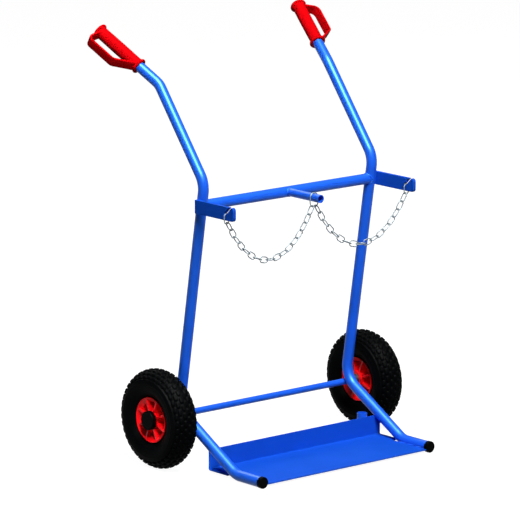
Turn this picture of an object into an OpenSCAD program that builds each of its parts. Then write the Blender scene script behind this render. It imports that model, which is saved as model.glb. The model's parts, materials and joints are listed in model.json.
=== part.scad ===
// Trolley for two gas cylinders: bent tube frame, toe plate, air-filled wheels, guarded grips
// and two hanging chains. Millimetres, +Z up, the toe plate faces -Y, the grips point to +Y.

/* [Frame tubes] */
// Outside diameter of the side tubes and of the crossbar
tube_d = 28; // [25:0.5:32]
// Wall of every frame tube
tube_wall = 2; // [1.5:0.1:3]
// Radius of the tube bends at the centre line
bend_r = 60; // [50:1:72]
// Distance between the centre lines of the two side tubes
track = 568; // [500:2:620]
// Length of a foot from its tip to the corner of its bend
foot_len = 106; // [80:1:130]
// Slope of the diagonal that rises from the foot to the axle, in degrees
diagonal_slope = 29.7; // [26:0.1:34]
// Angle below level at which the axle lies against its bend, in degrees
axle_seat_angle = 33.6; // [28:0.1:40]
// Forward lean of the upright, in degrees
upright_lean = 9.5; // [6:0.1:13]
// Height of the corner between upright and upper section
upper_bend_z = 748; // [700:1:800]
// Backward lean of the upper section, in degrees
upper_lean = 37.7; // [30:0.1:42]
// Height of the corner below the grip
handle_bend_z = 979; // [930:1:1030]
// Rise of the handle above level, in degrees
handle_rise = 33; // [25:0.5:40]
// Outward splay of the handle seen from above, in degrees
handle_splay = 16; // [8:0.5:22]
// Length of the handle from the corner of its bend to the tube end
handle_len = 220; // [205:1:235]
// Height of the crossbar centre line
crossbar_z = 690.5; // [650:0.5:720]
// Outside diameter of the centre stub
stub_d = 21.3; // [19:0.1:24]
// Reach of the centre stub in front of the crossbar centre line
stub_reach = 131; // [110:1:150]

/* [Toe plate] */
// Thickness of the folded sheet
sheet_t = 3; // [2:0.5:4]
// How far the sheet reaches past the centre lines of the feet
plate_over = 7.5; // [4:0.5:10]
// Height of the plate's upper face above the floor
plate_top_z = 11.5; // [9:0.5:15]
// Height of the upstand's upper edge above the floor
upstand_top_z = 63; // [55:1:75]
// Distance of the upstand's rear face in front of the axle
upstand_y = 127; // [115:1:140]
// Inner radius of the fold
fold_r = 3; // [2:0.5:6]
// Outside diameter of the rod socket behind the upstand
socket_d = 27; // [22:0.5:30]
// Distance of the rod socket inside the centre line of the right foot
socket_inset = 41; // [36:1:60]
// Height of the rod socket's rim above the floor
socket_top_z = 72; // [66:1:90]

/* [Foot caps] */
// Wall of the cap's sleeve
cap_wall = 1; // [0.8:0.1:2]
// Length of the cap along the tube
cap_len = 10; // [8:0.5:20]
// Thickness of the cap's closed end
cap_end = 2.5; // [2:0.5:4]

/* [Grips] */
// Distance from the corner of the handle bend to the grip
grip_start = 71; // [64:1:78]
// Outside diameter of the grip sleeve
grip_d = 33; // [32:0.5:36]
// Diameter of the collars at both ends of the grip
grip_collar_d = 43; // [39:0.5:46]
// Width of each collar
grip_collar_w = 8; // [6:0.5:12]
// Thickness of the grip's closed end
grip_end = 3; // [2:0.5:5]
// Distance from the grip axis to the outer face of the knuckle guard
guard_reach = 58; // [52:0.5:64]
// Thickness of the guard strap
guard_t = 6; // [5:0.5:8]
// Width of the guard strap
guard_w = 27; // [20:0.5:30]
// Radius of the guard's corners at the strap's middle
guard_bend_r = 14; // [10:0.5:18]
// Slope of the guard's front leg against the grip, in degrees
guard_slope = 47; // [38:1:60]
// Turn of the guard about the grip, below square to it, in degrees
guard_turn = 5; // [0:1:12]

/* [Wheels] */
// Outside diameter of the tyre
wheel_d = 260; // [245:1:280]
// Width of the tyre
tyre_w = 80; // [74:1:86]
// Thickness of the tyre's casing
tyre_wall = 6; // [5:0.5:8]
// Number of blocks round one row of the tread
tread_count = 38; // [24:1:44]
// Depth of the tread grooves
tread_depth = 3.5; // [2:0.5:4.5]
// Width of the ring grooves between the rows of blocks
tread_gap = 4; // [3:0.5:5]
// Gap between two blocks of a row
block_gap = 6.5; // [4:0.5:8]
// Gap between a side tube and its tyre
wheel_gap = 13; // [8:1:30]
// Diameter of the axle bar
axle_d = 17; // [15:0.5:20]
// Diameter of the bead seat
bead_d = 101.6; // [98:0.2:106]
// Width of the rim over its flanges
rim_w = 56; // [52:1:60]
// Height of the rim flanges above the bead seat
flange_h = 8; // [6:0.5:10]
// Thickness of a rim flange at its foot
flange_t = 8; // [7:0.5:9]
// Thickness of a rim flange at its lip
lip_t = 2.6; // [2:0.1:3.5]
// Wall of the moulded rim
rim_wall = 4; // [3:0.5:5]
// Number of ribs on each side of the rim's web
rib_count = 8; // [6:1:10]
// Thickness of a rib
rib_t = 5; // [4:0.5:7]
// Length of the hub
hub_len = 62; // [58:1:68]
// Outside diameter of the hub
hub_d = 43; // [40:0.5:46]
// Wall of the hub bushes
bush_wall = 5; // [3:0.5:6]
// Length of a hub bush
bush_len = 22; // [14:1:26]
// Outside diameter of the hub cap
hub_cap_d = 49; // [47:0.5:52]
// Wall of the hub cap
hub_cap_wall = 2; // [1.5:0.5:3]
// Thickness of the axle washers
washer_t = 2; // [1.5:0.5:3]
// Outside diameter of the axle washers
washer_d = 30; // [26:0.5:34]
// Diameter of the split pin
pin_d = 3.2; // [2.5:0.1:4]

/* [Chains] */
// Wire of the chain links
wire = 2.8; // [2.4:0.1:3.2]
// Inner length of a chain link
link_l = 23.5; // [22:0.1:25]
// Inner width of a chain link
link_w = 12; // [11.5:0.1:13]
// Links in one chain, an odd number
link_count = 17; // [17:2:19]
// Wire of the hanger ring on the stub
ring_wire = 3; // [2.5:0.1:3.5]
// Inner length of the hanger ring
ring_l = 34; // [32:0.5:40]
// Inner width of the hanger ring
ring_w = 24; // [24:0.5:28]
// Distance from the crossbar centre line to the hanger ring
ring_reach = 105; // [90:1:115]
// Angle from the vertical at which a chain leaves its ends, in degrees
chain_hook = 30; // [25:1:35]
// Thickness of the chain arms
arm_t = 10; // [8:0.5:10.5]
// Height of the chain arms
arm_h = 35; // [32:0.5:40]
// Length of the chain arms in front of the crossbar centre line
arm_len = 151.5; // [140:0.5:165]
// Radius of the arms' front corners
arm_corner_r = 8; // [5:0.5:12]
// Width of the chain slot
slot_w = 6; // [5.5:0.1:6.5]
// Distance of the slot's round end behind the arm's tip
slot_back = 32; // [28:0.5:36]
// Depth of the middle of the slot's round end below the arm's top edge
slot_deep = 19; // [17:0.5:21]

/* [Clearances] */
// Gap left between pieces that are welded or pushed together
weld_gap = 0.1; // [0.05:0.05:0.2]
// Gap between pieces that lie loosely on each other
seat_gap = 0.3; // [0.2:0.05:0.4]
// Radial play of the hub bushes on the axle
run_gap = 0.05; // [0.02:0.01:0.08]

/* [Hidden] */
$fn = 64;

frame_blue = [0.05, 0.27, 0.86];
grip_red = [0.85, 0.02, 0.05];
rubber_black = [0.06, 0.06, 0.07];
cap_black = [0.03, 0.03, 0.03];
zinc = [0.75, 0.77, 0.78];
steel = [0.6, 0.61, 0.63];

tube_r = tube_d / 2;
stub_r = stub_d / 2;
axle_r = axle_d / 2;
wheel_r = wheel_d / 2;
side_x = track / 2;
tube_lap = 1;
bend_swell = 0.01;
foot_z = tube_r + cap_wall + weld_gap;

// Corners of one side tube, foot to handle, measured from the axle's middle
diagonal = [0, -cos(diagonal_slope), -sin(diagonal_slope)];
upright = [0, -sin(upright_lean), cos(upright_lean)];
upper = [0, sin(upper_lean), cos(upper_lean)];
handle = [cos(handle_rise) * sin(handle_splay), cos(handle_rise) * cos(handle_splay), sin(handle_rise)];
axle_bend = acos(-diagonal * upright);
seat_distance = bend_r + tube_r + axle_r + weld_gap;
bend_middle = [
  side_x, -seat_distance * cos(axle_seat_angle), wheel_r + seat_distance * sin(axle_seat_angle)
];
axle_corner = bend_middle - unit(diagonal + upright) * bend_r / cos(axle_bend / 2);
foot_corner = axle_corner + diagonal * (axle_corner.z - foot_z) / sin(diagonal_slope);
foot_end = foot_corner - [0, foot_len - cap_end - weld_gap, 0];
upper_corner = axle_corner + upright * (upper_bend_z - axle_corner.z) / upright.z;
handle_corner = upper_corner + upper * (handle_bend_z - upper_bend_z) / upper.z;
handle_end = handle_corner + handle * handle_len;
side_path = [foot_end, foot_corner, axle_corner, upper_corner, handle_corner, handle_end];

// The part stands on z = 0, with its origin under the middle of its outline
front_y = foot_corner.y - foot_len;
grip_len = handle_len + weld_gap + grip_end - grip_start;
collar_edge_r = grip_collar_w / 2;
collar_r = grip_collar_d / 2 - collar_edge_r;
collar_y = handle_corner.y + handle.y * (grip_start + grip_len - collar_edge_r);
back_y = collar_y + collar_r * sqrt(1 - handle.y * handle.y) + collar_edge_r;
middle_y = (front_y + back_y) / 2;

// Crossbar, stub and arms
crossbar_y = axle_corner.y + upright.y / upright.z * (crossbar_z - axle_corner.z);
arm_x = side_x + tube_r + weld_gap + arm_t / 2;
slot_end = [arm_x, crossbar_y - arm_len + slot_back, crossbar_z + arm_h / 2 - slot_deep];
slot_end_r = slot_w / 2 + seat_gap;

// Toe plate
plate_w = track + 2 * plate_over;
sheet_middle_z = plate_top_z - sheet_t / 2;
upstand_middle_y = -upstand_y - sheet_t / 2;
notch_x = side_x - tube_r - weld_gap;
notch_rise = plate_top_z + sheet_t - foot_z + tube_r / cos(diagonal_slope);
notch_y = foot_corner.y + notch_rise / tan(diagonal_slope);

// Wheel sections
bead_r = bead_d / 2;
barrel_r = bead_r - rim_wall;
web_t = rim_wall + 1;
bead_w = 8;
hub_r = hub_d / 2;
bush_r = axle_r + run_gap + bush_wall;
tyre_foot_r = bead_r + 3;
section_r = (wheel_r + tyre_foot_r) / 2;
section_h = (wheel_r - tyre_foot_r) / 2;
tread_rows = 7;
tread_span = 130;
tread_step = 360 / tread_count;
block_angle = tread_step - block_gap / wheel_r * 180 / PI;
bead_out = rim_w / 2 - flange_t - seat_gap;
bead_in = bead_out - bead_w;
valve_d = 6;
valve_z = (web_t / 2 + bead_in) / 2;
hub_side = hub_len / 2;
wheel_x = side_x + tube_r + wheel_gap + tyre_w / 2;
pin_z = hub_side + seat_gap + washer_t + weld_gap + pin_d / 2;
axle_end_z = pin_z + 0.75 * pin_d;
hub_cap_out = axle_end_z + 2 * seat_gap + hub_cap_wall;
spacer_start = side_x + tube_r + weld_gap;
spacer_end = wheel_x - hub_side - seat_gap - washer_t - weld_gap;

// Chain geometry on the left-hand side of the middle plane
bow_r = (link_w + wire) / 2;
link_straight = (link_l - link_w) / 2;
link_pitch = link_l - seat_gap;
bow_rise = sqrt(link_w * link_w - arm_t * arm_t) / 2;
arm_link_y = slot_end.y - seat_gap;
arm_link_z = slot_end.z - slot_end_r + seat_gap - bow_rise - link_straight;
ring_bow_r = (ring_w + ring_wire) / 2;
ring_straight = (ring_l - ring_w) / 2;
ring_y = crossbar_y - ring_reach;
ring_z = crossbar_z + stub_r + seat_gap - ring_l / 2;
hook_dir = [sin(chain_hook), 0, -cos(chain_hook)];
arm_hook = [-arm_x, arm_link_y, arm_link_z - link_straight] + bow_r * hook_dir;
ring_hook = [0, ring_y, ring_z - ring_straight] - ring_bow_r * [hook_dir.x, 0, -hook_dir.z];
first_joint = arm_hook - (wire + seat_gap) / 2 * hook_dir;
last_joint = ring_hook + (ring_wire + wire + 2 * seat_gap) / 4 * [hook_dir.x, 0, -hook_dir.z];

// Hanging curve between the two ends: equal steps of arc length on a catenary
chain_step = last_joint - first_joint;
chain_span = norm([chain_step.x, chain_step.y]);
chain_along = [chain_step.x, chain_step.y, 0] / chain_span;
chain_side = cross([0, 0, 1], chain_along);
chain_length = link_count * link_pitch;
sag_ratio = sqrt(chain_length * chain_length - chain_step.z * chain_step.z) / chain_span;
sag_u = solve_sag(sag_ratio, sqrt(6 * (sag_ratio - 1)), 12);
sag_a = chain_span / (2 * sag_u);
sag_low = chain_span / 2 - sag_a * ln((chain_length + chain_step.z) / (chain_length - chain_step.z)) / 2;
chain_joints = [for (k = [0:link_count]) chain_point(k * link_pitch)];

function unit(v) = v / norm(v);
function sinh(x) = (exp(x) - exp(-x)) / 2;
function cosh(x) = (exp(x) + exp(-x)) / 2;
function asinh(x) = ln(x + sqrt(x * x + 1));

// Newton steps for sinh(u) / u = ratio
function solve_sag(ratio, u, steps) = steps == 0 ? u
  : solve_sag(ratio, u - (sinh(u) / u - ratio) * u * u / (u * cosh(u) - sinh(u)), steps - 1);

// Point of the hanging curve at an arc length from its first joint
function chain_point(s) = let (x = sag_low + sag_a * asinh(s / sag_a - sinh(sag_low / sag_a)))
  first_joint + chain_along * x
  + [0, 0, sag_a * (cosh((x - sag_low) / sag_a) - cosh(sag_low / sag_a))];

// Headings, bend angles and bend lengths of a path of corners
function heading(path, i) = unit(path[i + 1] - path[i]);
function bend_angle(path, i) = acos(heading(path, i - 1) * heading(path, i));
function bend_cut(path, i, r) = i == 0 || i == len(path) - 1 ? 0 : r * tan(bend_angle(path, i) / 2);

// Rigid placement with three unit axes and an origin
function placed(x, y, z, o) =
  [[x.x, y.x, z.x, o.x], [x.y, y.y, z.y, o.y], [x.z, y.z, z.z, o.z], [0, 0, 0, 1]];

// Carries a flat profile along a path of corners, each rounded to radius r. With a lap, the straight
// runs reach that far into bends that are a hair thicker, as a drawn tube is where it is bent.
module bent(path, r, lap = 0) {
  way = heading(path, 0);
  side = unit(cross([1, 0, 0], way));
  multmatrix(placed(side, cross(way, side), way, path[0])) bent_on(path, r, lap, 0, side) children();
}

// One straight run along +Z, the bend after it towards +X, and the rest of the path from there
module bent_on(path, r, lap, i, side) {
  way = heading(path, i);
  run = norm(path[i + 1] - path[i]) - bend_cut(path, i, r) - bend_cut(path, i + 1, r);
  last = i == len(path) - 2;
  start = i == 0 ? 0 : lap;
  translate([0, 0, -start]) linear_extrude(run + start + (last ? 0 : lap)) children();
  if (!last) {
    next = heading(path, i + 1);
    turn = bend_angle(path, i + 1);
    toward = unit(next - way * (way * next));
    translate([0, 0, run]) rotate(atan2(toward * cross(way, side), toward * side)) translate([r, 0, 0]) {
      rotate([90, 0, 180]) rotate_extrude(angle = turn) translate([r, 0])
        scale(1 + lap * bend_swell) children();
      rotate([0, turn, 0]) translate([-r, 0, 0])
        bent_on(path, r, lap, i + 1, toward * cos(turn) - way * sin(turn)) children();
    }
  }
}

module ring_profile(d, wall) {
  difference() {
    circle(d = d);
    circle(d = d - 2 * wall);
  }
}

module pipe(d, wall, len) {
  linear_extrude(len) ring_profile(d, wall);
}

// Frame shift that puts the origin under the middle of the outline
module stand() {
  translate([0, -middle_y, 0]) children();
}

// side is -1 on the left of the photographed view and 1 on the right
module mirrored(side) {
  mirror([side < 0 ? 1 : 0, 0, 0]) children();
}

module side_tube(side) {
  color(frame_blue) stand() mirrored(side)
    bent(side_path, bend_r, tube_lap) ring_profile(tube_d, tube_wall);
}

// Space that a side tube takes up, used to cut what is welded to it
module tube_space() {
  for (side = [-1, 1]) mirrored(side) bent(side_path, bend_r, tube_lap) circle(d = tube_d + 2 * weld_gap);
}

module crossbar() {
  color(frame_blue) stand() difference() {
    translate([-side_x, crossbar_y, crossbar_z]) rotate([0, 90, 0]) pipe(tube_d, tube_wall, track);
    for (side = [-1, 1]) mirrored(side)
      multmatrix(placed([1, 0, 0], cross(upright, [1, 0, 0]), upright, axle_corner))
        cylinder(d = tube_d + 2 * weld_gap, h = upper_bend_z);
  }
}

module centre_stub() {
  color(frame_blue) stand() difference() {
    translate([0, crossbar_y, crossbar_z]) rotate([90, 0, 0]) pipe(stub_d, tube_wall, stub_reach);
    translate([-track / 4, crossbar_y, crossbar_z]) rotate([0, 90, 0])
      cylinder(d = tube_d + 2 * weld_gap, h = track / 2);
  }
}

// Flat bar outside the side tube, its tip rounded and slotted for a chain link
module chain_arm(side) {
  color(frame_blue) stand() mirrored(side) difference() {
    translate([arm_x + arm_t / 2, crossbar_y, crossbar_z]) rotate([90, 0, -90]) linear_extrude(arm_t)
      arm_outline();
    translate([arm_x - arm_t, slot_end.y, slot_end.z]) {
      rotate([0, 90, 0]) cylinder(r = slot_end_r, h = 2 * arm_t);
      rotate([45, 0, 0]) translate([0, -slot_w / 2, 0]) cube([2 * arm_t, slot_w, 2 * slot_deep]);
    }
  }
}

module arm_outline() {
  difference() {
    translate([0, -arm_h / 2]) square([arm_len, arm_h]);
    for (end = [-1, 1]) translate([arm_len - arm_corner_r, end * (arm_h / 2 - arm_corner_r)]) difference() {
      translate([0, end < 0 ? -arm_corner_r - 1 : 0]) square(arm_corner_r + 1);
      circle(arm_corner_r);
    }
  }
}

module axle() {
  color(frame_blue) stand() difference() {
    translate([-wheel_x - axle_end_z, 0, wheel_r]) rotate([0, 90, 0])
      cylinder(r = axle_r, h = 2 * (wheel_x + axle_end_z));
    for (side = [-1, 1]) translate([side * (wheel_x + pin_z), 0, wheel_r])
      cylinder(d = pin_d + 2 * weld_gap, h = 2 * axle_d, center = true);
  }
}

// One folded sheet, notched beside the feet and cut where the diagonals pass
module toe_plate() {
  fold = [
    [0, front_y, sheet_middle_z],
    [0, upstand_middle_y, sheet_middle_z],
    [0, upstand_middle_y, upstand_top_z]
  ];
  color(frame_blue) stand() difference() {
    bent(fold, fold_r + sheet_t / 2) square([sheet_t, plate_w], center = true);
    tube_space();
    for (side = [-1, 1]) mirrored(side) {
      translate([notch_x, front_y - 1, 0]) cube([track, notch_y - front_y + 1, upstand_top_z]);
      translate([notch_x - cap_wall - weld_gap, front_y - 1, 0])
        cube([track, cap_len + weld_gap + 1, upstand_top_z]);
    }
  }
}

module rod_socket() {
  socket_y = -upstand_y + weld_gap + socket_d / 2;
  color(frame_blue) stand() translate([side_x - socket_inset, socket_y, plate_top_z - sheet_t])
    pipe(socket_d, tube_wall, socket_top_z - plate_top_z + sheet_t);
}

module foot_cap(side) {
  cap_r = tube_r + cap_wall + weld_gap;
  color(cap_black) stand() mirrored(side) translate([side_x, front_y, foot_z]) rotate([-90, 0, 0])
    rotate_extrude() difference() {
      union() {
        translate([0, cap_wall]) square([cap_r, cap_len - cap_wall]);
        square([cap_r - cap_wall, cap_wall]);
        translate([cap_r - cap_wall, cap_wall]) circle(cap_wall);
      }
      translate([0, cap_end]) square([tube_r + weld_gap, cap_len]);
      translate([-cap_r, -cap_r]) square([cap_r, 3 * cap_len]);
    }
}

// Moulded sleeve with a collar at each end and a wide strap that guards the knuckles
module grip(side) {
  outward = unit([1, 0, 0] - handle.x * handle);
  reach = guard_reach - guard_t / 2;
  root = sqrt(grip_d * grip_d - guard_w * guard_w) / 2 - guard_t / 2 - weld_gap;
  front = grip_collar_w - guard_t / 2;
  rear = grip_len - grip_collar_w - guard_t / 2;
  strap = [
    [0, root, front],
    [0, reach, front + (reach - root) / tan(guard_slope)],
    [0, reach, rear],
    [0, root, rear]
  ];
  color(grip_red) stand() mirrored(side)
    multmatrix(placed(cross(outward, handle), outward, handle, handle_corner + handle * grip_start))
      difference() {
        union() {
          cylinder(d = grip_d, h = grip_len);
          for (z = [collar_edge_r, grip_len - collar_edge_r])
            translate([0, 0, z]) rotate_extrude() union() {
              translate([0, -collar_edge_r]) square([collar_r, grip_collar_w]);
              translate([collar_r, 0]) circle(collar_edge_r);
            }
          rotate(guard_turn) bent(strap, guard_bend_r) square([guard_t, guard_w], center = true);
        }
        translate([0, 0, -grip_end]) cylinder(r = tube_r + weld_gap, h = grip_len);
      }
}

// Puts a wheel piece, made along +Z with its outer side up, on its end of the axle
module on_axle(side) {
  stand() translate([side * wheel_x, 0, wheel_r]) rotate([0, side * 90, 0]) children();
}

module axle_spacer(side) {
  color(steel) stand() mirrored(side) translate([spacer_start, 0, wheel_r]) rotate([0, 90, 0])
    linear_extrude(spacer_end - spacer_start) difference() {
      circle(d = washer_d - 4);
      circle(r = axle_r + weld_gap);
    }
}

module axle_washers(side) {
  color(steel) on_axle(side)
    for (z = [hub_side + seat_gap, -hub_side - seat_gap - washer_t]) translate([0, 0, z])
      linear_extrude(washer_t) difference() {
        circle(d = washer_d);
        circle(r = axle_r + weld_gap);
      }
}

// Split pin: a round shank through the axle with its eye above it
module split_pin(side) {
  eye_r = 0.7 * pin_d;
  color(zinc) on_axle(side) translate([0, 0, pin_z]) rotate([0, -90, 0]) union() {
    translate([0, 0, -axle_r - pin_d]) cylinder(d = pin_d, h = axle_d + 1.5 * pin_d);
    translate([0, 0, axle_r + pin_d / 2 + eye_r]) rotate([0, 90, 0]) rotate_extrude()
      translate([eye_r, 0]) circle(d = pin_d);
  }
}

module hub_bushes(side) {
  color(steel) on_axle(side)
    for (z = [-hub_side, hub_side - bush_len]) translate([0, 0, z]) linear_extrude(bush_len) difference() {
      circle(r = bush_r);
      circle(r = axle_r + run_gap);
    }
}

// Moulded rim: barrel with flared flanges, middle web, hub and ribs on both sides of the web
module rim(side) {
  half = rim_w / 2;
  foot = half - flange_t;
  lip_r = bead_r + flange_h - lip_t;
  color(grip_red) on_axle(side) difference() {
    union() {
      rotate_extrude() {
        polygon(concat(
          [[bead_r, -foot], [bead_r, foot], [bead_r + lip_t, foot]], rim_lip(1),
          [[barrel_r, foot], [barrel_r, -foot]], rim_lip(-1), [[bead_r + lip_t, -foot]]
        ));
        translate([bush_r + weld_gap, -web_t / 2]) square([barrel_r + 1 - bush_r, web_t]);
        translate([bush_r + weld_gap, -hub_side]) square([hub_r - bush_r - weld_gap, hub_len]);
      }
      for (i = [0:rib_count - 1]) rotate(360 / rib_count * (i + 0.5))
        translate([0, rib_t / 2, 0]) rotate([90, 0, 0]) linear_extrude(rib_t) polygon([
          [hub_r - 1, 2 - half], [lip_r, 2 - half], [barrel_r + 1, -foot],
          [barrel_r + 1, foot], [lip_r, half - 2], [hub_r - 1, half - 2]
        ]);
    }
    translate([0, 0, valve_z]) rotate([0, 90, 0])
      cylinder(d = valve_d + 4 * weld_gap, h = bead_r + 1);
  }
}

// Rounded lip of a rim flange, from its lower to its upper side
function rim_lip(end) = [for (q = [-90:30:90])
  [bead_r + flange_h - lip_t / 2 * (1 - cos(q)), end * (rim_w - lip_t) / 2 + lip_t / 2 * sin(q)]];

// Points of the tyre's casing between two angles, at a given inset from its outer face
function casing(inset, from, to, steps) = [for (i = [0:steps]) let (q = from + (to - from) * i / steps)
  [section_r + (section_h - inset) * sin(q), (tyre_w / 2 - inset) * cos(q)]];

module inner_tube(side) {
  inside = tyre_wall + seat_gap;
  color(rubber_black) on_axle(side) union() {
    rotate_extrude() difference() {
      union() {
        polygon(casing(inside, 0, 352.5, 47));
        translate([bead_r + seat_gap, seat_gap - bead_in]) square([section_h, 2 * (bead_in - seat_gap)]);
      }
      polygon(casing(inside + 2, 0, 352.5, 47));
    }
    translate([hub_r + 8, 0, valve_z]) rotate([0, 90, 0])
      cylinder(d = valve_d, h = bead_r + 2 - hub_r - 8);
  }
}

// Casing that ends in two beads, with rows of blocks round its crown, every other row half a block on
module tyre(side) {
  foot_r = bead_r + weld_gap;
  outer_q = acos(2 * bead_out / tyre_w);
  inner_q = acos(bead_in / (tyre_w / 2 - tyre_wall));
  edge_q = 90 - tread_span / 2;
  row_q = tread_span / tread_rows;
  color(rubber_black) on_axle(side) union() {
    rotate_extrude() polygon(concat(
      [[foot_r, bead_in], [foot_r, bead_out]],
      casing(0, -outer_q, edge_q, 14), casing(tread_depth, edge_q + 2, 178 - edge_q, 14),
      casing(0, 180 - edge_q, 180 + outer_q, 14),
      [[foot_r, -bead_out], [foot_r, -bead_in]], casing(tyre_wall, 180 + inner_q, -inner_q, 24)
    ));
    for (row = [0:tread_rows - 1], i = [0:tread_count - 1]) rotate((i + row % 2 / 2) * tread_step)
      rotate_extrude(angle = block_angle) tread_block(edge_q + (row + 0.5) * row_q, row_q / 2);
  }
}

// Section of one tread block, from its root in the casing to the tyre's outer face
module tread_block(q, reach) {
  half = reach - tread_gap / (section_h + tyre_w / 2) * 180 / PI;
  polygon(concat(casing(0, q - half, q + half, 1), casing(tread_depth + 1, q + half, q - half, 1)));
}

// Cup that covers the hub's outer end, the pin and the axle end
module hub_cap(side) {
  cap_r = hub_cap_d / 2;
  edge_r = 3;
  color(cap_black) on_axle(side) rotate_extrude() difference() {
    union() {
      translate([0, hub_side - 4]) square([cap_r, hub_cap_out - hub_side + 4 - edge_r]);
      square([cap_r - edge_r, hub_cap_out]);
      translate([cap_r - edge_r, hub_cap_out - edge_r]) circle(edge_r);
    }
    square([hub_r + weld_gap, hub_side]);
    square([hub_r - hub_cap_wall, hub_cap_out - hub_cap_wall]);
    square([cap_r + 1, hub_side - 4]);
    translate([-cap_r, 0]) square([cap_r, 2 * hub_cap_out]);
  }
}

// Oval link in the XY plane, its long axis along X
module link(inner_l, inner_w, d) {
  r = (inner_w + d) / 2;
  straight = (inner_l - inner_w) / 2;
  for (end = [-1, 1]) {
    translate([end * straight, 0, 0]) rotate(-90 * end) rotate_extrude(angle = 180)
      translate([r, 0]) circle(d = d, $fn = 24);
    translate([-straight, end * r, 0]) rotate([0, 90, 0]) cylinder(d = d, h = 2 * straight, $fn = 24);
  }
}

module hanger_ring() {
  color(zinc) stand() translate([0, ring_y, ring_z]) rotate([0, 90, 90]) link(ring_l, ring_w, ring_wire);
}

module arm_link(side) {
  color(zinc) stand() mirrored(side) translate([arm_x, arm_link_y, arm_link_z]) rotate([0, 90, 90])
    link(link_l, link_w, wire);
}

// Links between the joints of the hanging curve, each turned a quarter against the last
module chain(side) {
  color(zinc) stand() mirrored(-side) for (k = [0:link_count - 1]) {
    along = unit(chain_joints[k + 1] - chain_joints[k]);
    across = k % 2 == 0 ? chain_side : cross(chain_side, along);
    multmatrix(placed(along, across, cross(along, across), (chain_joints[k] + chain_joints[k + 1]) / 2))
      link(link_l, link_w, wire);
  }
}

side_tube(-1);  // left_side_tube
side_tube(1);  // right_side_tube
crossbar();
centre_stub();
chain_arm(-1);  // left_chain_arm
chain_arm(1);  // right_chain_arm
axle();
toe_plate();
rod_socket();
foot_cap(-1);  // left_foot_cap
foot_cap(1);  // right_foot_cap
grip(-1);  // left_grip
grip(1);  // right_grip
axle_spacer(-1);  // left_axle_spacer
axle_spacer(1);  // right_axle_spacer
axle_washers(-1);  // left_axle_washers
axle_washers(1);  // right_axle_washers
split_pin(-1);  // left_split_pin
split_pin(1);  // right_split_pin
hub_bushes(-1);  // left_hub_bushes
hub_bushes(1);  // right_hub_bushes
rim(-1);  // left_rim
rim(1);  // right_rim
inner_tube(-1);  // left_inner_tube
inner_tube(1);  // right_inner_tube
tyre(-1);  // left_tyre
tyre(1);  // right_tyre
hub_cap(-1);  // left_hub_cap
hub_cap(1);  // right_hub_cap
hanger_ring();
arm_link(-1);  // left_arm_link
arm_link(1);  // right_arm_link
chain(-1);  // left_chain
chain(1);  // right_chain
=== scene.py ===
"""Looks of a trolley for two gas cylinders.

A powder-coated tube frame, block-tread tyres, red rims and grips, and zinc chains.
"""

import json
import math

import bpy
import numpy as np
from mathutils import Matrix


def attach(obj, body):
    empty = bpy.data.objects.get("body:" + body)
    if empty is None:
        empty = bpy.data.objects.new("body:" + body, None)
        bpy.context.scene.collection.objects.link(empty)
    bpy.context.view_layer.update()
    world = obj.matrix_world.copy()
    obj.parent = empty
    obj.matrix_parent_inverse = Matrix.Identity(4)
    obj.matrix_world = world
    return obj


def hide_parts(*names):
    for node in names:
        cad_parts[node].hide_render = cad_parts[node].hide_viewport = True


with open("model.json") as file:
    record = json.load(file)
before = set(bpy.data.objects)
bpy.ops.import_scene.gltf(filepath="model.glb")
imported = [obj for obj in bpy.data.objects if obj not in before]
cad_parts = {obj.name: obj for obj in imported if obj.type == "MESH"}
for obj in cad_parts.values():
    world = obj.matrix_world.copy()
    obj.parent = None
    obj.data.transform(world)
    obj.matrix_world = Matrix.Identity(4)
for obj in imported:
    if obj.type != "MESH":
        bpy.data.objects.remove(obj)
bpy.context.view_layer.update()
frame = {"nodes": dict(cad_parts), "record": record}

# Sizes are in millimetres, measured from the floor under the axle's middle.
MM = 0.001
AXLE_Y = frame["record"]["behaviour"]["joints"][0]["pos_m"][1] / MM
SIDES = (("left", -1.0), ("right", 1.0))
FULL_TURN = 2 * math.pi
SHARP_ANGLE = math.radians(40)


# Shapes

def unit(v):
    """Vectors divided by their own lengths."""
    v = np.asarray(v, float)
    return v / np.linalg.norm(v, axis=-1, keepdims=True)


def flipped(points, side):
    """The left-hand copy of right-hand points: x changes sign where side is -1."""
    return points * np.array([side, 1.0, 1.0])


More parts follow.
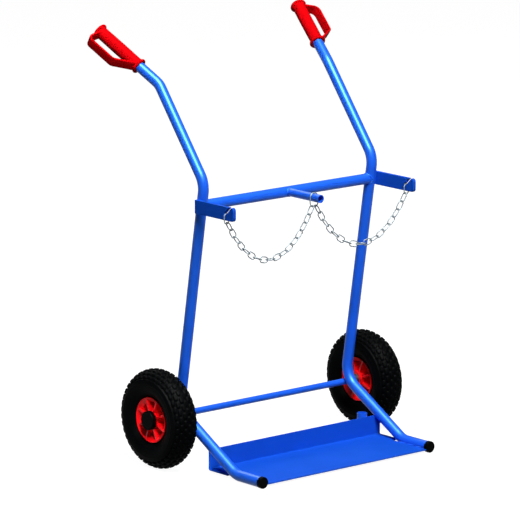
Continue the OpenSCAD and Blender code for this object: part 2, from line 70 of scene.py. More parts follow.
def skin(name, points, round_rows=False, ends=False):
    """Mesh of one or more grids of points.

    Each grid is (rows, columns, 3). A quad joins every four neighbours, the columns close on
    themselves and the rows do on request, and ends puts a flat face on the first and the last row.
    Faces are turned outwards by the sign of the enclosed volume.
    """
    points = np.asarray(points, float)
    grids = points if points.ndim == 4 else points[None]
    count, rows, columns = grids.shape[:3]
    i = np.arange(rows if round_rows else rows - 1)[:, None]
    j = np.arange(columns)[None, :]
    below, right = (i + 1) % rows, (j + 1) % columns
    quads = np.stack([
        i * columns + j, i * columns + right, below * columns + right, below * columns + j,
    ], -1)
    starts = np.arange(count) * rows * columns
    quads = (quads.reshape(1, -1, 4) + starts[:, None, None]).reshape(-1, 4)
    place = grids.reshape(-1, 3)
    a, b, c, d = (place[quads[:, k]] for k in range(4))
    volume = np.einsum("ij,ij->i", a - place.mean(0), np.cross(c - a, d - b)).sum()
    faces = (quads[:, ::-1] if volume < 0 else quads).tolist()
    if ends:
        ring = np.arange(columns)
        first, last = ring[::-1], ring + (rows - 1) * columns
        caps = (first, last) if volume > 0 else (first[::-1], last[::-1])
        faces += [(cap + start).tolist() for start in starts for cap in caps]
    mesh = bpy.data.meshes.new(name)
    mesh.from_pydata(((place + [0.0, AXLE_Y, 0.0]) * MM).tolist(), [], faces)
    mesh.polygons.foreach_set("use_smooth", np.ones(len(mesh.polygons), bool))
    mesh.set_sharp_from_angle(angle=SHARP_ANGLE)
    piece = bpy.data.objects.new(name, mesh)
    bpy.context.scene.collection.objects.link(piece)
    return piece


def joined(name, *pieces):
    """One object that holds the meshes of several."""
    with bpy.context.temp_override(
        active_object=pieces[0], selected_editable_objects=list(pieces)
    ):
        bpy.ops.object.join()
    pieces[0].name = pieces[0].data.name = name
    return pieces[0]


def bent_line(corners, radius, arc_steps=24, run_steps=2):
    """Points and headings of straight runs joined by round bends.

    A bend of angle q starts and ends radius * tan(q / 2) from its corner; at angle p along it the
    point is start + inward * radius * (1 - cos p) + way * radius * sin p.
    """
    corners = np.asarray(corners, float)
    ways = unit(np.diff(corners, axis=0))
    points, headings = [], []
    start = corners[0]
    for k, way in enumerate(ways):
        end, turn = corners[k + 1], 0.0
        if k < len(ways) - 1:
            turn = math.acos(way @ ways[k + 1])
            end = end - way * radius * math.tan(turn / 2)
        points.append(start + (end - start) * np.linspace(0, 1, run_steps)[:, None])
        headings.append(np.repeat(way[None], run_steps, 0))
        if turn:
            inward = unit(ways[k + 1] - way * math.cos(turn))
            p = np.linspace(0, turn, arc_steps)[1:-1, None]
            points.append(end + inward * radius * (1 - np.cos(p)) + way * radius * np.sin(p))
            headings.append(way * np.cos(p) + inward * np.sin(p))
            start = corners[k + 1] + ways[k + 1] * radius * math.tan(turn / 2)
    return np.concatenate(points), np.concatenate(headings)


def straight(start, end, steps=60):
    """Points on a straight line."""
    return np.asarray(start, float) + np.subtract(end, start) * np.linspace(0, 1, steps)[:, None]


def line_length(points):
    """Length along a line from its first point to each point."""
    steps = np.linalg.norm(np.diff(points, axis=0), axis=1)
    return np.concatenate([[0], np.cumsum(steps)])


def carried(profile, points, headings, reference=(1.0, 0.0, 0.0), size=None):
    """A flat profile carried along a line.

    Its first axis lies along reference x heading and its second across both. Size gives the
    profile's scale in both axes at each point.
    """
    profile = np.asarray(profile, float)
    first = unit(np.cross(np.asarray(reference, float), headings))
    second = np.cross(headings, first)
    size = np.ones((len(points), 2)) if size is None else np.asarray(size, float)
    sized = profile[None] * size[:, None, :]
    return points[:, None] + sized[..., :1] * first[:, None] + sized[..., 1:] * second[:, None]


def round_angles(steps):
    """Equal angles round a circle, from 0."""
    return np.arange(steps) * FULL_TURN / steps


def circle(radius, steps):
    """Points on a circle, at equal angles."""
    q = round_angles(steps)
    return radius * np.stack([np.cos(q), np.sin(q)], -1)


def rounded_box(width, height, corner, steps=6):
    """Outline of a rectangle with round corners: a quarter circle at each corner."""
    quarter = math.pi / 2
    q = np.arange(4)[:, None] * quarter + np.linspace(0, quarter, steps)[None]
    signs = np.array([[1, 1], [-1, 1], [-1, -1], [1, -1]], float)[:, None]
    middle = signs * [width / 2 - corner, height / 2 - corner]
    return (middle + corner * np.stack([np.cos(q), np.sin(q)], -1)).reshape(-1, 2)


def turned(profile, steps):
    """Profile points (radius, height) turned about an axis: one ring of points for each."""
    q = round_angles(steps)
    r, z = np.asarray(profile, float).T[..., None]
    return np.stack([r * np.cos(q), r * np.sin(q), np.broadcast_to(z, (len(z), steps))], -1)


def placed(points, x, y, z, origin):
    """Points given in a frame with the axes x, y and z, put in the part's frame."""
    origin = np.asarray(origin, float)
    return origin + points[..., :1] * x + points[..., 1:2] * y + points[..., 2:] * z


# Finishes

CLOUD_FROM, CLOUD_TO = 0.35, 0.65
GRAIN_DEPTH = 0.0005


def effect(name, inputs, outputs):
    """Empty node group with named value inputs and outputs, and its input and output nodes."""
    group = bpy.data.node_groups.new(name, "ShaderNodeTree")
    sockets = group.interface
    sockets.new_socket("Vector", in_out="INPUT", socket_type="NodeSocketVector")
    for key, value in inputs.items():
        socket = sockets.new_socket(key, in_out="INPUT", socket_type="NodeSocketFloat")
        socket.default_value = value
    for key in outputs:
        sockets.new_socket(key, in_out="OUTPUT", socket_type="NodeSocketFloat")
    return group, group.nodes.new("NodeGroupInput"), group.nodes.new("NodeGroupOutput")


def skin_grain():
    """Fine bumps of a sprayed or moulded skin, and broad soft clouds: noises at two scales."""
    group, come, go = effect("skin_grain", {"Fine": 900.0, "Broad": 9.0}, ["Height", "Cloud"])
    for key, target, detail in (("Fine", "Height", 2.0), ("Broad", "Cloud", 4.0)):
        noise = group.nodes.new("ShaderNodeTexNoise")
        noise.inputs["Detail"].default_value = detail
        group.links.new(come.outputs["Vector"], noise.inputs["Vector"])
        group.links.new(come.outputs[key], noise.inputs["Scale"])
        group.links.new(noise.outputs["Fac"], go.inputs[target])
    return group


GRAIN = skin_grain()


def finish(name, colour, shade, rough, fine=900.0, broad=9.0, bump=0.03, swing=0.06,
           metal=0.0, specular=0.5, sheen=(1, 1, 1)):
    """Material whose colour drifts to a shade in soft clouds.

    Its roughness swings with the clouds, and fine bumps cover it. Sheen tints its highlights.
    """
    material = bpy.data.materials.new(name)
    material.use_nodes = True
    nodes, links = material.node_tree.nodes, material.node_tree.links
    surface = nodes["Principled BSDF"]
    surface.inputs["Metallic"].default_value = metal
    surface.inputs["Specular IOR Level"].default_value = specular
    surface.inputs["Specular Tint"].default_value = (*sheen, 1.0)
    where = nodes.new("ShaderNodeTexCoord")
    grain = nodes.new("ShaderNodeGroup")
    grain.node_tree = GRAIN
    grain.inputs["Fine"].default_value = fine
    grain.inputs["Broad"].default_value = broad
    links.new(where.outputs["Object"], grain.inputs["Vector"])
    tint = nodes.new("ShaderNodeMix")
    tint.data_type = "RGBA"
    tint.inputs["A"].default_value = (*shade, 1.0)
    tint.inputs["B"].default_value = (*colour, 1.0)
    cloud = nodes.new("ShaderNodeMapRange")
    cloud.inputs["From Min"].default_value = CLOUD_FROM
    cloud.inputs["From Max"].default_value = CLOUD_TO
    links.new(grain.outputs["Cloud"], cloud.inputs["Value"])
    links.new(cloud.outputs["Result"], tint.inputs["Factor"])
    links.new(tint.outputs["Result"], surface.inputs["Base Color"])
    gloss = nodes.new("ShaderNodeMapRange")
    gloss.inputs["To Min"].default_value = rough + swing
    gloss.inputs["To Max"].default_value = rough - swing
    links.new(grain.outputs["Cloud"], gloss.inputs["Value"])
    links.new(gloss.outputs["Result"], surface.inputs["Roughness"])
    raised = nodes.new("ShaderNodeBump")
    raised.inputs["Strength"].default_value = bump
    raised.inputs["Distance"].default_value = GRAIN_DEPTH
    links.new(grain.outputs["Height"], raised.inputs["Height"])
    links.new(raised.outputs["Normal"], surface.inputs["Normal"])
    return material


blue_coat = finish(
    "blue powder coat", (0.009, 0.104, 0.80), (0.008, 0.095, 0.73), 0.42,
    fine=500, bump=0.02, specular=0.40, sheen=(0.26, 0.95, 1.0),
)
# The same blue powder coat with a duller gloss, and a darker colour that is painted shade: the
# upturned toe plate and the chain arms' flat sides are made darker than the lamps leave them.
shade_darkened_sheet_coat = finish(
    "blue powder coat on sheet, darkened as painted shade", (0.0072, 0.084, 0.61), (0.0068, 0.078, 0.57), 0.60,
    fine=500, bump=0.02, specular=0.02, sheen=(0.2, 0.7, 1.0),
)
grip_red = finish(
    "red grip plastic", (0.66, 0.0015, 0.004), (0.58, 0.0015, 0.004), 0.46,
    fine=500, bump=0.02, specular=0.002, sheen=(1.0, 0.20, 0.25),
)
rim_red = finish(
    "red rim plastic", (0.90, 0.002, 0.006), (0.82, 0.002, 0.005), 0.34,
    fine=500, bump=0.02, specular=0.30, sheen=(1.0, 0.40, 0.45),
)
tyre_black = finish(
    "tread rubber", (0.0008, 0.0010, 0.0012), (0.0014, 0.0016, 0.0018), 0.50,
    fine=700, broad=30, bump=0.06, specular=0.010,
)
cap_black = finish(
    "black cap plastic", (0.0010, 0.0011, 0.0012), (0.0015, 0.0015, 0.0016), 0.45,
    fine=500, bump=0.02, specular=0.012,
)
tube_black = finish(
    "inner tube rubber", (0.003, 0.003, 0.003), (0.005, 0.005, 0.005), 0.55,
    bump=0.1, specular=0.05,
)
zinc = finish(
    "dull zinc", (0.27, 0.325, 0.35), (0.19, 0.235, 0.26), 0.46,
    fine=1500, broad=120, bump=0.03, metal=0.14, specular=0.1,
)
steel = finish(
    "dark steel", (0.10, 0.10, 0.11), (0.06, 0.06, 0.07), 0.45,
    fine=1500, broad=60, bump=0.04, metal=1.0,
)

FINISHES = {
    "frame_paint": blue_coat, "grip_plastic": grip_red, "rim_plastic": rim_red,
    "tyre_rubber": tyre_black, "tube_rubber": tube_black, "cap_plastic": cap_black,
    "chain_zinc": zinc, "steel": steel,
}
SLOTS = {entry["node"]: entry["material_slot"] for entry in frame["record"]["subparts"]}
for node, solid in frame["nodes"].items():
    solid.data.materials.clear()
    # The toe plate takes the darkened copy of the coat, whose darker colour is painted shade.
    solid.data.materials.append(shade_darkened_sheet_coat if node == "toe_plate" else FINISHES[SLOTS[node]])


def fitted(piece, body, slot, *nodes):
    """Gives a new piece its finish, the body it moves with and the CAD nodes that it stands for."""
    piece.data.materials.clear()
    piece.data.materials.append(FINISHES[slot])
    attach(piece, body)
    if nodes:
        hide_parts(*nodes)
    return piece


# Side tubes

TUBE_R = 14.0
TUBE_FACETS = 128
BEND_R = 60.0
SIDE_X = 284.0
SIDE_CORNERS = [
    [SIDE_X, -332.679, 15.1],
    [SIDE_X, -229.279, 15.1],
    [SIDE_X, -2.714, 144.33],
    [SIDE_X, -103.733, 748.0],
    [SIDE_X, 74.804, 979.0],
    [334.857, 252.164, 1098.82],
]


def side_tube(side):
    """A circle carried along the tube's bent line, closed by a flat face at each end."""
    points, headings = bent_line(SIDE_CORNERS, BEND_R)
    return flipped(carried(circle(TUBE_R, TUBE_FACETS), points, headings), side)


for word, side in SIDES:
    tube = skin(word + "_tube_skin", side_tube(side), ends=True)
    fitted(tube, "frame", "frame_paint", word + "_side_tube")


# Tyres

WHEEL_X = 351.0
WHEEL_R = 130.0
WHEEL_STEPS = 608

# The casing's section is an ellipse round a middle radius, open at the beads; angles in degrees
CASING_MIDDLE = 91.9
CASING_HIGH, CASING_WIDE = 38.1, 40.0
CASING_WALL = 6.0
CASING_R = 39.05
OUTER_ANGLES, OUTER_STEPS = (-60.5, 240.5), 118
INNER_ANGLES, INNER_STEPS = (249.9, -69.9), 20
BEAD_R, BEAD_INNER, BEAD_OUTER = 50.9, 11.7, 19.7

# The tread's blocks lie in rows over a span of the crown in degrees, with grooves between them
BLOCK_COUNT, BLOCK_ROWS, BLOCK_SPAN = 38, 7, 130
GROOVE_ROUND, GROOVE_ACROSS, GROOVE_DEPTH = 6.5, 4.0, 3.5
BLOCK_EDGE = 2.6
CORNER_REACH, CORNER_SLOPE = 1.55, 4.0
TREAD_END, TREAD_FADE = 45.5, 1.5

# Fine ridges on the walls: distance along the section from the crown's middle, and height
RIDGES = ((57, 0.8), (82, 0.6))
RIDGE_WIDE = 0.9


def tread(q, along):
    """Height of the tread, 0 in a groove and 1 on a block.

    Every other row is shifted by half a step. A block is a rectangle in (arc length round, arc
    length across) with its corners cut off by slants. At its edge the height falls from 1 to 0
    over BLOCK_EDGE as the smooth step s * s * (3 - 2 * s).
    """
    pitch = FULL_TURN * WHEEL_R / BLOCK_COUNT
    row_pitch = math.radians(BLOCK_SPAN / BLOCK_ROWS) * CASING_R
    last_row = BLOCK_ROWS // 2
    row = np.clip(np.round(along / row_pitch), -last_row, last_row)
    across = np.abs(along - row * row_pitch)[None]
    place = q[:, None] * WHEEL_R / pitch + (row % 2)[None] / 2
    round_by = np.abs(place % 1 - 0.5) * pitch
    long_half, wide_half = (pitch - GROOVE_ROUND) / 2, (row_pitch - GROOVE_ACROSS) / 2
    edge = np.maximum(round_by - long_half, across - wide_half)
    slant = (round_by / long_half + across / wide_half - CORNER_REACH) * CORNER_SLOPE
    step = np.clip(0.5 - np.maximum(edge, slant) / BLOCK_EDGE, 0, 1)
    return step * step * (3 - 2 * step)


def casing(angles, inset):
    """Points (radius, place across) of the casing's ellipse, drawn in by an inset."""
    high, wide = CASING_HIGH - inset, CASING_WIDE - inset
    return np.stack([CASING_MIDDLE + high * np.sin(angles), wide * np.cos(angles)], -1)


def tyre(side):
    """A casing of elliptic section with a block tread, two fine ridges on each wall and two beads.

    The section's outline is carried round the axle. On the crown its points sink by the depth of
    the grooves wherever the tread's height is 0, and each ridge is a bell curve of arc length.
    """
    crown = np.radians(np.linspace(*OUTER_ANGLES, OUTER_STEPS))
    well = np.radians(np.linspace(*INNER_ANGLES, INNER_STEPS))
    section = np.concatenate([
        [[BEAD_R, BEAD_INNER], [BEAD_R, BEAD_OUTER]], casing(crown, 0.0),
        [[BEAD_R, -BEAD_OUTER], [BEAD_R, -BEAD_INNER]], casing(well, CASING_WALL),
    ])
    on_crown = slice(2, 2 + OUTER_STEPS)
    away = np.zeros_like(section)
    away[on_crown] = np.stack([np.sin(crown), np.cos(crown)], -1)
    along = (crown - math.pi / 2) * CASING_R
    off = np.abs(along)
    q = round_angles(WHEEL_STEPS)
    fade = np.clip((TREAD_END - off) / TREAD_FADE, 0, 1)
    ridge = sum(high * np.exp(-(((off - at) / RIDGE_WIDE) ** 2)) for at, high in RIDGES)
    rise = np.zeros((WHEEL_STEPS, len(section)))
    rise[:, on_crown] = (tread(q, along) - 1) * GROOVE_DEPTH * fade + ridge
    grid = section[None] + rise[..., None] * away[None]
    r, z = grid[..., 0], grid[..., 1]
    around, up = r * np.sin(q)[:, None], WHEEL_R + r * np.cos(q)[:, None]
    return np.stack([side * (WHEEL_X + z), around, up], -1)


for word, side in SIDES:
    rubber = skin(word + "_tread", tyre(side), round_rows=True)
    fitted(rubber, word + "_wheel", "tyre_rubber", word + "_tyre")


# Grips

GRIP_OFFSET = 71.0
GRIP_LEN = 152.1
GRIP_FACETS = 128
HANDLE = unit(np.subtract(SIDE_CORNERS[5], SIDE_CORNERS[4]))
GRIP_START = np.array(SIDE_CORNERS[4]) + HANDLE * GRIP_OFFSET

# Sleeve, in (radius, length): its open and closed ends, round collars and the waist between them
MOUTH = [[14.1, 1.0], [14.6, 0.2]]
BACK = [[15.0, GRIP_LEN], [2.0, GRIP_LEN]]
COLLAR_R, COLLAR_RIM, COLLAR_STEPS = 17.5, 4.0, 12
WAIST_R, WAIST_SWELL, WAIST_START, WAIST_STEPS = 16.5, 0.6, 9.5, 24
HOLLOW_RISE, HOLLOW_REACH, HOLLOW_START = 1.6, 2.2, 8.0

# Strap: corners in (out from the handle, along it), and its section
STRAP_LINE = [[6.4, 5.0], [55.0, 50.35], [55.0, 141.1], [6.4, 141.1]]
STRAP_BEND_R = 14.0
STRAP_STEPS = 14
STRAP_THICK, STRAP_WIDE, STRAP_CORNER = 6.0, 27.0, 2.4
ROOT_SWELL, ROOT_REACH = 0.25, 16.0
STRAP_TURN = math.radians(5)


def grip_sleeve():
    """Profile of the sleeve, radius against length: two round collars and a waist between them.

    The collars' rims are half circles. The waist is a cosine that swells at half length, and it
    rises into each collar as an exponential.
    """
    p = np.linspace(-math.pi, 0, COLLAR_STEPS)
    out, along = COLLAR_R + COLLAR_RIM * np.sin(-p), COLLAR_RIM * np.cos(p)
    front = np.stack([out, COLLAR_RIM + along], -1)
    rear = np.stack([out, GRIP_LEN - COLLAR_RIM + along], -1)
    z = np.linspace(WAIST_START, GRIP_LEN - WAIST_START, WAIST_STEPS)
    swell = WAIST_SWELL * np.cos((z / GRIP_LEN - 0.5) * math.pi)
    hollows = [np.exp(-(reach - HOLLOW_START) / HOLLOW_REACH) for reach in (z, GRIP_LEN - z)]
    waist = np.stack([WAIST_R + swell + HOLLOW_RISE * sum(hollows), z], -1)
    return np.concatenate([MOUTH, front, waist, rear, BACK])


def grip_strap():
    """A round-cornered strip carried from the front collar to the guard's line and back.

    Its thickness grows near both ends as a bell curve, where it runs into the sleeve. The whole
    strap is turned a little about the handle.
    """
    corners = np.insert(np.array(STRAP_LINE), 0, 0.0, axis=1)
    points, headings = bent_line(corners, STRAP_BEND_R, STRAP_STEPS, STRAP_STEPS)
    length = line_length(points)
    roots = [np.exp(-((reach / ROOT_REACH) ** 2)) for reach in (length, length[-1] - length)]
    swell = 1 + ROOT_SWELL * sum(roots)
    strip = rounded_box(STRAP_THICK, STRAP_WIDE, STRAP_CORNER)
    grid = carried(strip, points, headings, size=np.stack([swell, np.ones_like(swell)], -1))
    c, s = math.cos(STRAP_TURN), math.sin(STRAP_TURN)
    return grid @ np.array([[c, s, 0], [-s, c, 0], [0, 0, 1]])


outward = unit(np.array([1.0, 0, 0]) - HANDLE[0] * HANDLE)
handle_axes = (np.cross(outward, HANDLE), outward, HANDLE)
sleeve_grid = placed(turned(grip_sleeve(), GRIP_FACETS), *handle_axes, GRIP_START)
strap_grid = placed(grip_strap(), *handle_axes, GRIP_START)
for word, side in SIDES:
    sleeve = skin("sleeve", flipped(sleeve_grid, side), ends=True)
    strap = skin("strap", flipped(strap_grid, side), ends=True)
    fitted(joined(word + "_grip_skin", sleeve, strap), "frame", "grip_plastic", word + "_grip")


# Chain arms

CROSSBAR_Y = -94.111
CROSSBAR_Z = 690.5
ARM_X = 303.1
ARM_LEN, ARM_HALF, ARM_CORNER, CORNER_STEPS = 151.5, 17.5, 8.0, 9
SLIT_EYE, SLIT_EYE_R, SLIT_EYE_STEPS = (119.5, -1.5), 3.3, 22
SLIT_HALF = 3.0

# Rows across the bar: how far each outline is drawn in, and its place across
ARM_INSETS = (2.0, 1.2, 0.35, 0.0, 0.0, 0.35, 1.2, 2.0)
ARM_ROWS = (-5.0, -5.0, -4.65, -3.8, 3.8, 4.65, 5.0, 5.0)


def arm_outline():
    """Outline of a chain arm in (forward, up), a slotted bar with a rounded tip.

    It runs along the lower edge, round both corners of the tip, back to the slit, down the slit at
    45 degrees, round the slit's end, which is a circle a little wider than the slit, up again and
    back along the top edge.
    """
    p = np.linspace(0, math.pi / 2, CORNER_STEPS)
    tip, high = ARM_LEN - ARM_CORNER, ARM_HALF - ARM_CORNER
    lower = np.stack([tip + ARM_CORNER * np.sin(p), -high - ARM_CORNER * np.cos(p)], -1)
    upper = np.stack([tip + ARM_CORNER * np.cos(p), high + ARM_CORNER * np.sin(p)], -1)
    eye, way = np.array(SLIT_EYE), np.array([1.0, 1.0]) / math.sqrt(2)
    across = np.array([way[1], -way[0]])
    gap = math.asin(SLIT_HALF / SLIT_EYE_R)
    q = np.linspace(gap, FULL_TURN - gap, SLIT_EYE_STEPS)[:, None]
    hole = eye + SLIT_EYE_R * (np.cos(q) * way + np.sin(q) * across)
    walls = (eye + across * SLIT_HALF, eye - across * SLIT_HALF)
    mouth = [wall + way * (ARM_HALF - wall[1]) / way[1] for wall in walls]
    root = [[0, -ARM_HALF], [0, ARM_HALF]]
    return np.concatenate([root[:1], lower, upper, mouth[:1], hole, mouth[1:], root[1:]])


def chain_arm(side):
    """The outline at eight places across the bar, drawn in towards its faces for round edges."""
    line = arm_outline()
    before, after = unit(line - np.roll(line, 1, 0)), unit(np.roll(line, -1, 0) - line)
    out = unit(before + after) @ np.array([[0.0, -1.0], [1.0, 0.0]])
    flat = line[None] - np.array(ARM_INSETS)[:, None, None] * out[None]
    x = np.broadcast_to(ARM_X + np.array(ARM_ROWS)[:, None], flat.shape[:2])
    return flipped(np.stack([x, CROSSBAR_Y - flat[..., 0], CROSSBAR_Z + flat[..., 1]], -1), side)


for word, side in SIDES:
    arm = skin(word + "_arm_bar", chain_arm(side), ends=True)
    fitted(arm, "frame", "frame_paint", word + "_chain_arm")
    # The arms take the darkened copy of the coat too: its darker colour is painted shade.
    arm.data.materials[0] = shade_darkened_sheet_coat


# Welds

RIPPLE, RIPPLE_STEP = 0.12, 2.4
TAPER, TAPER_LEAST = 1.5, 0.05
BEAD_FACETS = 10
BEAD_REFERENCE = (0.31, 0.42, 0.85)
RING_STEPS = 120
UPRIGHT_LEAN = math.radians(9.5)

# Radii of the beads
STUB_BEAD, BAR_BEAD, ARM_BEAD, PLATE_BEAD, SOCKET_BEAD = 1.5, 1.6, 1.7, 1.5, 1.4

# Crossbar to upright, and stub to crossbar
BAR_RING_R, BAR_STAND_OFF, SADDLE_EASE = 14.5, 0.6, 0.01
STUB_R, STUB_RING_R, STUB_SEAT_R = 10.65, 11.1, 14.4

# Arm to upright: place across, place in front of the crossbar and half its height
ARM_WELD_X, ARM_WELD_FORWARD, ARM_WELD_HALF = 297.2, -6.2, 17.0

# Plate to foot, and socket to upstand
PLATE_WELD_X, PLATE_WELD_Z, PLATE_WELD_LEN = 270.0, 12.0, 22.0
PLATE_WELD_STARTS = (-314.0, -284.0, -254.0)
SOCKET_WELD_XS = (237.8, 248.2)
SOCKET_WELD_Y, SOCKET_WELD_FOOT, SOCKET_WELD_TOP = -126.2, 16.0, 58.0


def weld(points, radius, closed=False):
    """A bead laid along a line: a circle whose radius swings like the ripples of a run.

    An open bead tapers at both ends by the square root of the distance from the end.
    """
    points = np.asarray(points, float)
    length = line_length(points)
    swell = 1 + RIPPLE * np.sin(length * FULL_TURN / RIPPLE_STEP)
    if closed:
        ahead = np.roll(points, -1, 0) - np.roll(points, 1, 0)
    else:
        ahead = np.gradient(points, axis=0)
        from_end = np.minimum(length, length[-1] - length)
        swell *= np.sqrt(np.clip(from_end / TAPER, TAPER_LEAST, 1))
    size = np.stack([swell, swell], -1)
    grid = carried(circle(radius, BEAD_FACETS), points, unit(ahead), BEAD_REFERENCE, size)
    return skin("bead", grid, round_rows=closed, ends=not closed)


q = round_angles(RING_STEPS)
saddle = TUBE_R * np.sqrt(np.sin(q - UPRIGHT_LEAN) ** 2 + SADDLE_EASE)
bar_weld = np.stack([
    SIDE_X - saddle - BAR_STAND_OFF,
    CROSSBAR_Y + BAR_RING_R * np.cos(q),
    CROSSBAR_Z + BAR_RING_R * np.sin(q),
], -1)
stub_weld = np.stack([
    STUB_RING_R * np.cos(q),
    CROSSBAR_Y - np.sqrt(STUB_SEAT_R**2 - (STUB_R * np.sin(q)) ** 2),
    CROSSBAR_Z + STUB_RING_R * np.sin(q),
], -1)
arm_weld_y = CROSSBAR_Y + ARM_WELD_FORWARD
arm_weld_lean = ARM_WELD_HALF * math.tan(UPRIGHT_LEAN)
arm_weld = straight(
    [ARM_WELD_X, arm_weld_y + arm_weld_lean, CROSSBAR_Z - ARM_WELD_HALF],
    [ARM_WELD_X, arm_weld_y - arm_weld_lean, CROSSBAR_Z + ARM_WELD_HALF],
)
beads = [weld(stub_weld, STUB_BEAD, True)]
for _, side in SIDES:
    beads.append(weld(flipped(bar_weld, side), BAR_BEAD, True))
    beads.append(weld(flipped(arm_weld, side), ARM_BEAD))
    for start in PLATE_WELD_STARTS:
        plate_weld = straight(
            [PLATE_WELD_X, start, PLATE_WELD_Z],
            [PLATE_WELD_X, start + PLATE_WELD_LEN, PLATE_WELD_Z],
        )
        beads.append(weld(flipped(plate_weld, side), PLATE_BEAD))
for x in SOCKET_WELD_XS:
    socket_weld = straight(
        [x, SOCKET_WELD_Y, SOCKET_WELD_FOOT], [x, SOCKET_WELD_Y, SOCKET_WELD_TOP]
    )
    beads.append(weld(socket_weld, SOCKET_BEAD))
fitted(joined("weld_beads", *beads), "frame", "frame_paint")


# Chains

CHAIN_ENDS = [[-300.175, -213.911, 666.117], [-5.95, -199.111, 669.144]]
LINK_COUNT = 17
LINK_PITCH = 23.2
NEWTON_STEPS = 12

# Inner length, inner width and wire radius of a link and of the ring
LINK = (23.5, 12.0, 1.4)
RING = (34.0, 24.0, 1.5)
WIRE_FACETS, BOW_STEPS, RUN_STEPS = 14, 20, 8
LINK_WELD, LINK_WELD_REACH = 0.16, 1.4

ARM_LOOP_AT = [ARM_X, -213.911, 676.933]
RING_AT = [0, -199.111, 684.45]
HANGING_AXES = (np.array([0, 0, -1.0]), np.array([1.0, 0, 0]), np.array([0, -1.0, 0]))


def oval(inner_length, inner_width, wire):
    """A wire loop in its own XY plane, long axis along X: two half circles and two straights.

    At the small weld on one straight the wire's radius grows by the share
    LINK_WELD * exp(-(x / LINK_WELD_REACH)^2).
    """
    bow = inner_width / 2 + wire
    half = (inner_length - inner_width) / 2
    p = np.linspace(-math.pi / 2, math.pi / 2, BOW_STEPS)
    right = np.stack([half + bow * np.cos(p), bow * np.sin(p)], -1)
    right_way = np.stack([-np.sin(p), np.cos(p)], -1)
    run = np.linspace(half, -half, RUN_STEPS + 2)[1:-1]
    top = np.stack([run, np.full(RUN_STEPS, bow)], -1)
    top_way = np.tile([-1.0, 0.0], (RUN_STEPS, 1))
    line = np.concatenate([right, top, -right, -top])
    way = np.concatenate([right_way, top_way, -right_way, -top_way])
    out = np.stack([way[:, 1], -way[:, 0]], -1)
    bulge = LINK_WELD * np.exp(-((line[:, 0] / LINK_WELD_REACH) ** 2)) * (line[:, 1] > 0)
    radius = (wire * (1 + bulge))[:, None]
    s = round_angles(WIRE_FACETS)
    flat = line[:, None] + (radius * np.cos(s))[..., None] * out[:, None]
    return np.concatenate([flat, (radius * np.sin(s))[..., None]], -1)


def hanging_joints(first, last, count, pitch):
    """Joints of a chain that hangs between two points.

    They lie at equal arc lengths on the catenary z = a cosh((x - low) / a). Newton's steps solve
    sinh(u) / u = ratio, and a = span / (2 u).
    """
    first, last = np.asarray(first, float), np.asarray(last, float)
    step = last - first
    span = math.hypot(step[0], step[1])
    length = count * pitch
    ratio = math.sqrt(length**2 - step[2] ** 2) / span
    u = math.sqrt(6 * (ratio - 1))
    for _ in range(NEWTON_STEPS):
        u -= (math.sinh(u) / u - ratio) * u * u / (u * math.cosh(u) - math.sinh(u))
    a = span / (2 * u)
    low = span / 2 - a * math.atanh(step[2] / length)
    s = np.arange(count + 1) * pitch
    x = low + a * np.arcsinh(s / a - math.sinh(low / a))
    z = a * (np.cosh((x - low) / a) - math.cosh(low / a))
    level = np.array([step[0], step[1], 0.0])
    return first + x[:, None] * level / span + z[:, None] * np.array([0.0, 0.0, 1.0])


def chain(side):
    """Links laid along the chords between the hanging joints, every other one turned a quarter."""
    joints = hanging_joints(*CHAIN_ENDS, LINK_COUNT, LINK_PITCH)
    along = unit(np.diff(joints, axis=0))
    level = unit(np.cross([0.0, 0.0, 1.0], joints[-1] - joints[0]))
    upright = np.cross(level, along)
    odd = (np.arange(LINK_COUNT) % 2)[:, None]
    across = np.where(odd == 0, level[None], upright)
    middle = (joints[1:] + joints[:-1]) / 2
    axes = [axis[:, None, None] for axis in (along, across, np.cross(along, across))]
    return flipped(placed(oval(*LINK)[None], *axes, middle[:, None, None]), -side)


arm_loop = placed(oval(*LINK), *HANGING_AXES, ARM_LOOP_AT)
for word, side in SIDES:
    links = skin(word + "_links", chain(side), round_rows=True)
    fitted(links, word + "_chain", "chain_zinc", word + "_chain")
    end_loop = skin(word + "_end_loop", flipped(arm_loop, side), round_rows=True)
    fitted(end_loop, "frame", "chain_zinc", word + "_arm_link")
hanger = skin("hanger_loop", placed(oval(*RING), *HANGING_AXES, RING_AT), round_rows=True)
fitted(hanger, "frame", "chain_zinc", "hanger_ring")


# Floor and world, in metres

FLOOR_REACH = 30
FLOOR_GLOW = 0.955
FLOOR_SHADOW = (0.20, 0.20, 0.20, 1.0)
FLOOR_BOUNCE = (0.10, 0.10, 0.10, 1.0)
WORLD_LIGHT = 0.04


def seen_ray(tree):
    """1 for rays from the camera, off a glossy surface or through glass, 0 for the others."""
    rays = tree.nodes.new("ShaderNodeLightPath")
    last = rays.outputs["Is Camera Ray"]
    for kind in ("Is Glossy Ray", "Is Transmission Ray"):
        larger = tree.nodes.new("ShaderNodeMath")
        larger.operation = "MAXIMUM"
        tree.links.new(last, larger.inputs[0])
        tree.links.new(rays.outputs[kind], larger.inputs[1])
        last = larger.outputs[0]
    return last


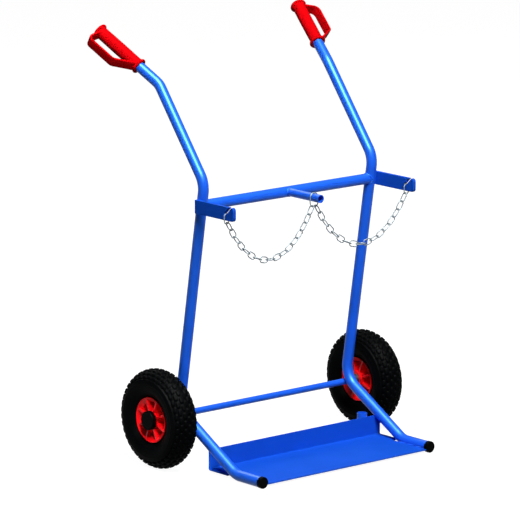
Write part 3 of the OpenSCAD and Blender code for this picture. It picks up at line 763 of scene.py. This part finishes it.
def pale_floor():
    """Material that is white with a soft shadow to a seen ray, and dark grey to all other light."""
    material = bpy.data.materials.new("pale floor")
    material.use_nodes = True
    tree = material.node_tree
    tree.nodes.clear()
    glow = tree.nodes.new("ShaderNodeEmission")
    glow.inputs["Strength"].default_value = FLOOR_GLOW
    lit = tree.nodes.new("ShaderNodeBsdfDiffuse")
    lit.inputs["Color"].default_value = FLOOR_SHADOW
    both = tree.nodes.new("ShaderNodeAddShader")
    tree.links.new(glow.outputs[0], both.inputs[0])
    tree.links.new(lit.outputs[0], both.inputs[1])
    grey = tree.nodes.new("ShaderNodeBsdfDiffuse")
    grey.inputs["Color"].default_value = FLOOR_BOUNCE
    choose = tree.nodes.new("ShaderNodeMixShader")
    tree.links.new(seen_ray(tree), choose.inputs[0])
    tree.links.new(grey.outputs[0], choose.inputs[1])
    tree.links.new(both.outputs[0], choose.inputs[2])
    out = tree.nodes.new("ShaderNodeOutputMaterial")
    tree.links.new(choose.outputs[0], out.inputs["Surface"])
    return material


floor_signs = ((-1, -1), (1, -1), (1, 1), (-1, 1))
floor_corners = [(x * FLOOR_REACH, y * FLOOR_REACH, 0) for x, y in floor_signs]
floor_mesh = bpy.data.meshes.new("floor")
floor_mesh.from_pydata(floor_corners, [], [(0, 1, 2, 3)])
floor = bpy.data.objects.new("floor", floor_mesh)
bpy.context.scene.collection.objects.link(floor)
floor_mesh.materials.append(pale_floor())

world = bpy.data.worlds.new("studio")
bpy.context.scene.world = world
world.use_nodes = True
ambient = world.node_tree.nodes["Background"]
ambient.inputs["Color"].default_value = (1.0, 1.0, 1.0, 1.0)
ambient.inputs["Strength"].default_value = WORLD_LIGHT


# Lamps, in metres and watts

TROLLEY_MIDDLE = (0.0, 0.0, 0.5)
SOFTBOX_SIZE = 2.2
SHEEN_SIZE = 1.6
SPOT_BLEND, SPOT_SIZE = 0.4, 0.01


def pose(right, up, back, place):
    """Matrix of an object with these axes at a place."""
    matrix = np.eye(4)
    matrix[:3] = np.stack([right, up, back, place], -1)
    return Matrix(matrix.tolist())


def aimed(name, lamp, place, target):
    """Object that holds a lamp at a place, turned to face a target."""
    holder = bpy.data.objects.new(name, lamp)
    back = unit(np.subtract(place, target))
    right = unit(np.cross([0.0, 0.0, 1.0], back))
    holder.matrix_world = pose(right, np.cross(back, right), back, place)
    bpy.context.scene.collection.objects.link(holder)
    return holder


def softbox(name, place, size, power):
    """Square lamp that faces the trolley's middle."""
    lamp = bpy.data.lights.new(name, "AREA")
    lamp.size, lamp.energy = size, power
    return aimed(name, lamp, place, TROLLEY_MIDDLE)


def spot(name, place, target, cone, power):
    """Round lamp with a narrow beam of the given angle in degrees."""
    lamp = bpy.data.lights.new(name, "SPOT")
    lamp.energy, lamp.spot_size = power, math.radians(cone)
    lamp.spot_blend, lamp.shadow_soft_size = SPOT_BLEND, SPOT_SIZE
    return aimed(name, lamp, place, target)


softbox("key", (-1.40, -3.14, 5.44), SOFTBOX_SIZE, 560)
softbox("rear fill", (1.6, 4.2, 3.2), SOFTBOX_SIZE, 90)
spot("left wheel", (-1.51, -1.65, 2.06), (-0.39, 0.035, 0.13), 4.6, 240)
spot("right wheel", (-0.81, -1.65, 2.06), (0.31, 0.035, 0.13), 4.6, 30)
spot("plate end", (-1.690, -1.727, 0.488), (-0.2915, -0.088, 0.030), 1.5, 200)

# These two light reflections only
softbox("front sheen", (-1.55, -2.2, 5.9), SHEEN_SIZE, 2000).visible_diffuse = False
softbox("top sheen", (-0.4, -0.6, 6.4), SHEEN_SIZE, 400).visible_diffuse = False


# Camera, from a fit to edges measured in the photograph

PHOTO_PIXELS = 520.0
PIXELS_PER_MM = 0.38852
PIXELS_ASIDE, PIXELS_DOWN = 18.55282, 35.83093
CAMERA_TURN, CAMERA_TILT = math.radians(-40.3239), math.radians(11.86126)
CAMERA_DISTANCE = 11621.79
CAMERA_TARGET = np.array([0.0, -60.0 + AXLE_Y, 600.0])
SENSOR_WIDTH = 36.0
CLIP_END = 200.0

back = np.array([
    math.sin(CAMERA_TURN) * math.cos(CAMERA_TILT),
    -math.cos(CAMERA_TURN) * math.cos(CAMERA_TILT),
    math.sin(CAMERA_TILT),
])
right = np.array([math.cos(CAMERA_TURN), math.sin(CAMERA_TURN), 0.0])
up = np.cross(back, right)
shift = right * PIXELS_ASIDE / PIXELS_PER_MM + up * PIXELS_DOWN / PIXELS_PER_MM
station = CAMERA_TARGET + back * CAMERA_DISTANCE - shift
camera_data = bpy.data.cameras.new("photograph")
camera_data.sensor_width = SENSOR_WIDTH
camera_data.lens = PIXELS_PER_MM * CAMERA_DISTANCE / PHOTO_PIXELS * SENSOR_WIDTH
camera_data.clip_end = CLIP_END
camera = bpy.data.objects.new("photograph", camera_data)
camera.matrix_world = pose(right, up, back, station * MM)
bpy.context.scene.collection.objects.link(camera)
bpy.context.scene.camera = camera

bpy.context.scene.view_settings.view_transform = "Standard"
